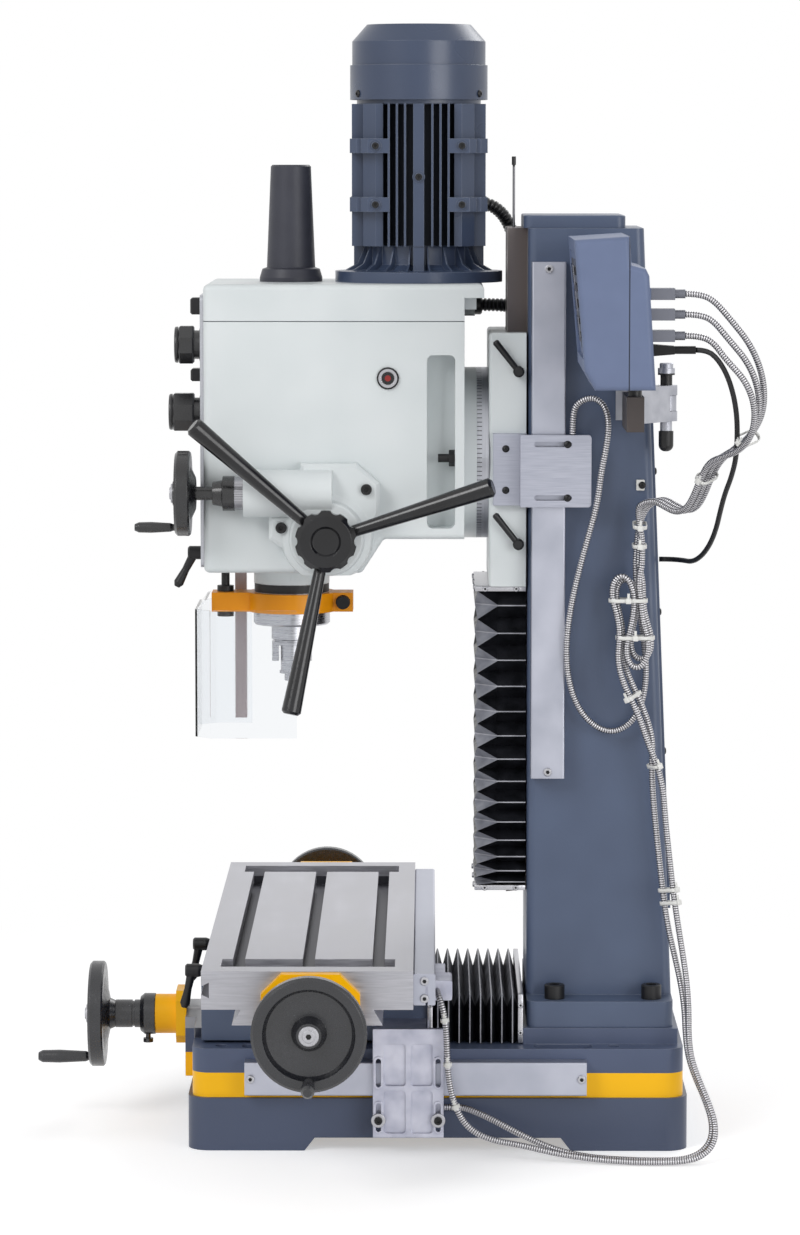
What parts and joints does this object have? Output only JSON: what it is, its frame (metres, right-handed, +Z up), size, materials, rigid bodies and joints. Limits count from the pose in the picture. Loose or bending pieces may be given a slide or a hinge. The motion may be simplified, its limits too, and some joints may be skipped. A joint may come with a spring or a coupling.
{
  "type": "mill drill",
  "caption": "Bench mill drill: dovetail column, tilting geared head with quill and feed capstan, compound table on lead screws, chip guard and digital readout.",
  "frame": {"origin": "on the floor, at the centre of the four foot bolts", "axes": "+X to the operator's right along the table, +Y from the operator to the column, +Z up the column"},
  "size_m": [1.0866, 0.8594, 1.323],
  "materials": {
    "grey_casting": "satin enamel over cast iron",
    "grey_sheet": "satin enamel over sheet steel",
    "grey_aluminium": "satin enamel over finned aluminium",
    "white_casting": "off-white enamel over cast iron",
    "white_aluminium": "off-white enamel over cast aluminium",
    "yellow_casting": "yellow enamel over cast iron",
    "bare_iron": "ground and scraped iron",
    "steel": "turned and ground steel",
    "bronze": "cast bronze",
    "dark_steel": "black oxide",
    "aluminium": "brushed anodised",
    "cast_aluminium": "cast, bead blasted",
    "black_metal": "black gloss",
    "black_plastic": "moulded black",
    "bellows_rubber": "coated cloth",
    "lead_armour": "ribbed metal armour",
    "conduit_plastic": "corrugated",
    "guard_steel": "zinc plated",
    "clear_plastic": "clear",
    "console_plastic": "lavender grey"
  },
  "bodies": {
    "frame": {"base_casting": "grey_casting", "column_casting": "grey_casting", "column_cap": "grey_casting", "column_covers": "grey_sheet", "column_bolts": "dark_steel", "frame_scales": "aluminium", "z_bellows": "bellows_rubber", "y_bellows": "bellows_rubber", "y_feed_bracket": "yellow_casting", "dro_mount": "cast_aluminium", "console_leads": "lead_armour", "x_lead": "lead_armour", "y_lead": "lead_armour", "z_lead": "lead_armour"},
    "z_screw": {"z_leadscrew": "steel"},
    "z_crank": {"z_crank": "black_metal"},
    "saddle": {"saddle_casting": "bare_iron", "feed_nuts": "bronze", "reader_brackets": "aluminium"},
    "table": {"table_casting": "bare_iron", "table_end_brackets": "yellow_casting", "x_scale": "aluminium"},
    "x_screw": {"x_leadscrew": "steel", "x_handwheels": "black_metal"},
    "y_screw": {"y_leadscrew": "steel", "y_handwheel": "black_metal"},
    "table_lever_near": {"table_lock_lever_near": "black_plastic"},
    "table_lever_far": {"table_lock_lever_far": "black_plastic"},
    "z_slide": {"z_slide_casting": "white_casting", "swivel_ring": "steel", "z_reader_bracket": "aluminium", "conduits": "conduit_plastic"},
    "z_lever_upper": {"z_lock_lever_upper": "black_plastic"},
    "z_lever_lower": {"z_lock_lever_lower": "black_plastic"},
    "head": {"head_casting": "white_casting", "head_lid": "white_aluminium", "front_panel": "aluminium", "sight_glass": "black_plastic", "feed_cover": "white_aluminium", "drawbar_cover": "black_plastic", "motor_housing": "grey_aluminium", "motor_fan_cover": "grey_sheet"},
    "knob_upper": {"speed_knob_upper": "black_plastic"},
    "knob_lower": {"speed_knob_lower": "black_plastic"},
    "quill_lock": {"quill_lock_lever": "black_plastic"},
    "fine_feed": {"fine_feed_wheel": "black_metal"},
    "capstan": {"capstan_hub": "black_metal", "capstan_levers": "black_metal"},
    "quill": {"quill": "steel", "quill_clamp": "yellow_casting", "depth_stop": "steel"},
    "spindle": {"spindle": "steel", "shell_mill_arbor": "steel"},
    "guard": {"guard_bar": "guard_steel", "guard_shield": "clear_plastic"},
    "dro": {"dro_arm": "cast_aluminium", "dro_console": "console_plastic"},
    "motor_rotor": {"motor_rotor": "steel"},
    "countershaft": {"countershaft": "steel"},
    "spindle_gear": {"spindle_gear": "steel"}
  },
  "joints": [
    {"name": "z_crank_turn", "type": "hinge", "parent": "frame", "child": "z_crank", "pos_m": [0, 0.176, 1.035], "axis": [1, 0, 0], "range_deg": [-15481, 7921]},
    {"name": "z_screw_turn", "type": "hinge", "parent": "frame", "child": "z_screw", "pos_m": [0, 0.176, 0.6], "axis": [0, 0, 1], "range_deg": [-15481, 7921]},
    {"name": "z_feed", "type": "slide", "parent": "frame", "child": "z_slide", "axis": [0, 0, 1], "range_m": [-0.215, 0.11], "deforming": ["z_bellows", "z_lead", "conduits"]},
    {"name": "y_screw_turn", "type": "hinge", "parent": "frame", "child": "y_screw", "pos_m": [0, -0.3, 0.128], "axis": [0, 1, 0], "range_deg": [-6841, 5401]},
    {"name": "y_feed", "type": "slide", "parent": "frame", "child": "saddle", "axis": [0, 1, 0], "range_m": [-0.095, 0.075], "deforming": ["y_bellows", "x_lead", "y_lead"]},
    {"name": "x_screw_turn", "type": "hinge", "parent": "table", "child": "x_screw", "pos_m": [0, -0.12, 0.195], "axis": [1, 0, 0], "range_deg": [-15841, 15841]},
    {"name": "x_feed", "type": "slide", "parent": "saddle", "child": "table", "axis": [1, 0, 0], "range_m": [-0.22, 0.22]},
    {"name": "table_lever_near_turn", "type": "hinge", "parent": "saddle", "child": "table_lever_near", "pos_m": [0.092, -0.256, 0.1977], "axis": [0, 1, 0], "range_deg": [-60, 60]},
    {"name": "table_lever_far_turn", "type": "hinge", "parent": "saddle", "child": "table_lever_far", "pos_m": [-0.092, -0.256, 0.1977], "axis": [0, 1, 0], "range_deg": [-60, 60]},
    {"name": "z_lever_upper_turn", "type": "hinge", "parent": "z_slide", "child": "z_lever_upper", "pos_m": [0.1, 0.119, 0.915], "axis": [1, 0, 0], "range_deg": [-35, 0]},
    {"name": "z_lever_lower_turn", "type": "hinge", "parent": "z_slide", "child": "z_lever_lower", "pos_m": [0.1, 0.119, 0.711], "axis": [1, 0, 0], "range_deg": [-35, 0]},
    {"name": "head_tilt", "type": "hinge", "parent": "z_slide", "child": "head", "pos_m": [0, 0.07, 0.813], "axis": [0, 1, 0], "range_deg": [-45, 45], "deforming": ["conduits"]},
    {"name": "knob_upper_turn", "type": "hinge", "parent": "head", "child": "knob_upper", "pos_m": [0.045, -0.256, 0.944], "axis": [0, 1, 0], "range_deg": [-120, 120]},
    {"name": "knob_lower_turn", "type": "hinge", "parent": "head", "child": "knob_lower", "pos_m": [0.045, -0.256, 0.864], "axis": [0, 1, 0], "range_deg": [-120, 120]},
    {"name": "quill_lock_turn", "type": "hinge", "parent": "head", "child": "quill_lock", "pos_m": [0.062, -0.252, 0.697], "axis": [0, 1, 0], "range_deg": [-60, 60]},
    {"name": "fine_feed_turn", "type": "hinge", "parent": "head", "child": "fine_feed", "pos_m": [0.146, -0.2, 0.774], "axis": [0, 1, 0], "continuous": true},
    {"name": "capstan_turn", "type": "hinge", "parent": "head", "child": "capstan", "pos_m": [0.15, -0.1065, 0.722], "axis": [1, 0, 0], "range_deg": [0, 550], "stiffness_Nm_per_rad": 0.6, "springref_deg": -286.48},
    {"name": "quill_feed", "type": "slide", "parent": "head", "child": "quill", "axis": [0, 0, -1], "range_m": [0, 0.125]},
    {"name": "motor_spin", "type": "hinge", "parent": "head", "child": "motor_rotor", "pos_m": [0, 0.001, 1], "axis": [0, 0, 1], "continuous": true},
    {"name": "countershaft_spin", "type": "hinge", "parent": "head", "child": "countershaft", "pos_m": [0, -0.075, 0.9], "axis": [0, 0, 1], "continuous": true},
    {"name": "spindle_gear_spin", "type": "hinge", "parent": "head", "child": "spindle_gear", "pos_m": [0, -0.152, 0.9], "axis": [0, 0, 1], "continuous": true},
    {"name": "spindle_spin", "type": "hinge", "parent": "quill", "child": "spindle", "pos_m": [0, -0.152, 0.6], "axis": [0, 0, 1], "continuous": true},
    {"name": "guard_swing", "type": "hinge", "parent": "head", "child": "guard", "pos_m": [-0.066, -0.216, 0.678], "axis": [0, 0, -1], "range_deg": [0, 100]},
    {"name": "dro_swivel", "type": "hinge", "parent": "frame", "child": "dro", "pos_m": [0.122, 0.292, 0.88], "axis": [0, 0, 1], "range_deg": [0, 60], "deforming": ["console_leads"]}
  ],
  "couplings": [
    {"joint": "z_crank_turn", "follows": "z_feed", "rad_per_m": 1256.6},
    {"joint": "z_screw_turn", "follows": "z_feed", "rad_per_m": 1256.6},
    {"joint": "y_screw_turn", "follows": "y_feed", "rad_per_m": 1256.6},
    {"joint": "x_screw_turn", "follows": "x_feed", "rad_per_m": 1256.6},
    {"joint": "quill_feed", "follows": "capstan_turn", "m_per_rad": 0.013},
    {"joint": "countershaft_spin", "follows": "motor_spin", "ratio": -0.40741},
    {"joint": "spindle_gear_spin", "follows": "motor_spin", "ratio": 0.22},
    {"joint": "spindle_spin", "follows": "motor_spin", "ratio": 0.22}
  ]
}
